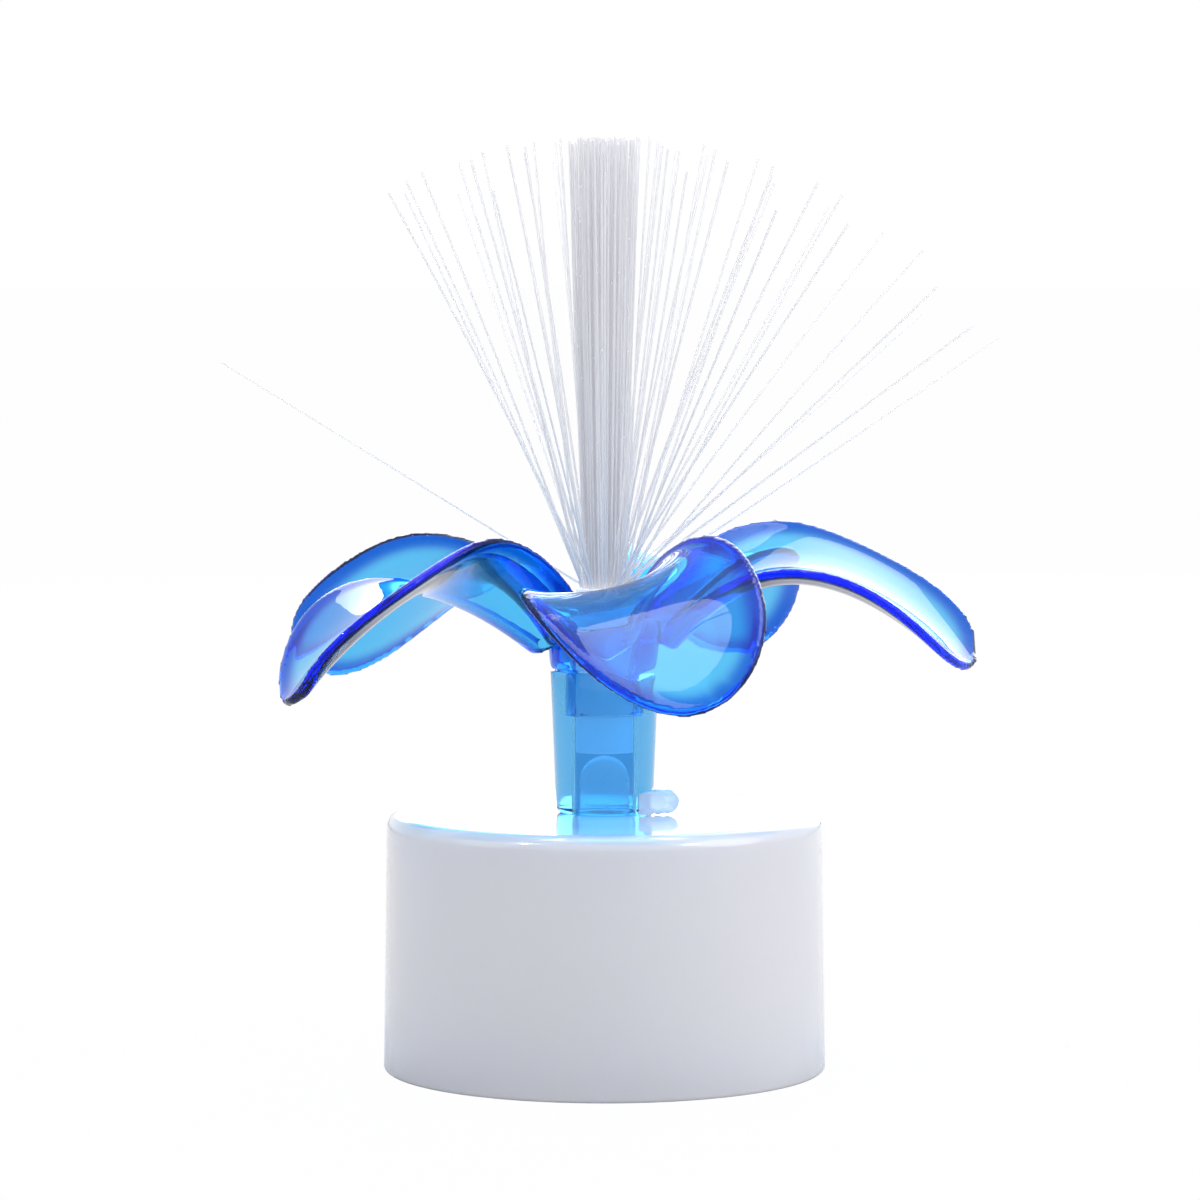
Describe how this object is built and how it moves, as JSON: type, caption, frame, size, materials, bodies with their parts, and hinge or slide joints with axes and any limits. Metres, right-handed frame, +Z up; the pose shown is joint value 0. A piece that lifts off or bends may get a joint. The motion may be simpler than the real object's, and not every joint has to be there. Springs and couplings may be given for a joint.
{
  "type": "fibre optic table lamp",
  "caption": "Small battery table lamp: milky cup base, clear blue stem and petal flower, spray of clear optical fibres.",
  "frame": {"origin": "middle of the face the base stands on", "axes": "+Z up through the stem and the fibres, -Y toward the front, +X to the right seen from the front"},
  "size_m": [0.0804, 0.0734, 0.095],
  "materials": {
    "milky_shell": "glossy milky white",
    "milky_cover": "satin moulded white",
    "clear_blue": "clear glossy blue",
    "pale_blue": "clear glossy pale blue",
    "adhesive": "milky translucent",
    "fibre": "clear drawn strand",
    "ferrule": "milky sleeve",
    "led_lens": "diffused milky lens",
    "screw_steel": "bright plated",
    "cell_steel": "bright can",
    "contact_metal": "nickel plated",
    "tinned_wire": "tinned",
    "board_green": "solder mask",
    "resistor_body": "lacquered",
    "switch_can": "stamped can",
    "black_plastic": "moulded black",
    "red_sleeve": "wire sleeve",
    "black_sleeve": "wire sleeve"
  },
  "bodies": {
    "base": {"base_shell": "milky_shell", "stem_tube": "pale_blue", "glue_bead": "adhesive", "bottom_cover": "milky_cover", "cover_screws": "screw_steel", "positive_contact": "contact_metal", "negative_contact": "contact_metal", "circuit_board": "board_green", "led": "led_lens", "led_legs": "tinned_wire", "resistor": "resistor_body", "switch_housing": "switch_can", "switch_pins": "tinned_wire", "red_wire": "red_sleeve", "black_wire": "black_sleeve", "switch_wire": "black_sleeve"},
    "flower_head": {"flower": "clear_blue", "fibre_ferrule": "ferrule", "fibre_bundle": "fibre", "fibre_core": "fibre", "fibre_fan": "fibre"},
    "door": {"battery_door": "milky_cover", "button_cell_1": "cell_steel", "button_cell_2": "cell_steel", "button_cell_3": "cell_steel"},
    "lock_screw": {"door_screw": "screw_steel"},
    "slider": {"switch_slider": "black_plastic"}
  },
  "joints": [
    {"name": "switch_slide", "type": "slide", "parent": "base", "child": "slider", "axis": [1, 0, 0], "range_m": [0, 0.002]},
    {"name": "door_lift", "type": "slide", "parent": "base", "child": "door", "axis": [0, 0, -1], "range_m": [0, 0.03]},
    {"name": "door_screw_out", "type": "slide", "parent": "door", "child": "lock_screw", "axis": [0, 0, -1], "range_m": [0, 0.006]},
    {"name": "flower_lift", "type": "slide", "parent": "base", "child": "flower_head", "axis": [0, 0, 1], "range_m": [0, 0.018]}
  ]
}
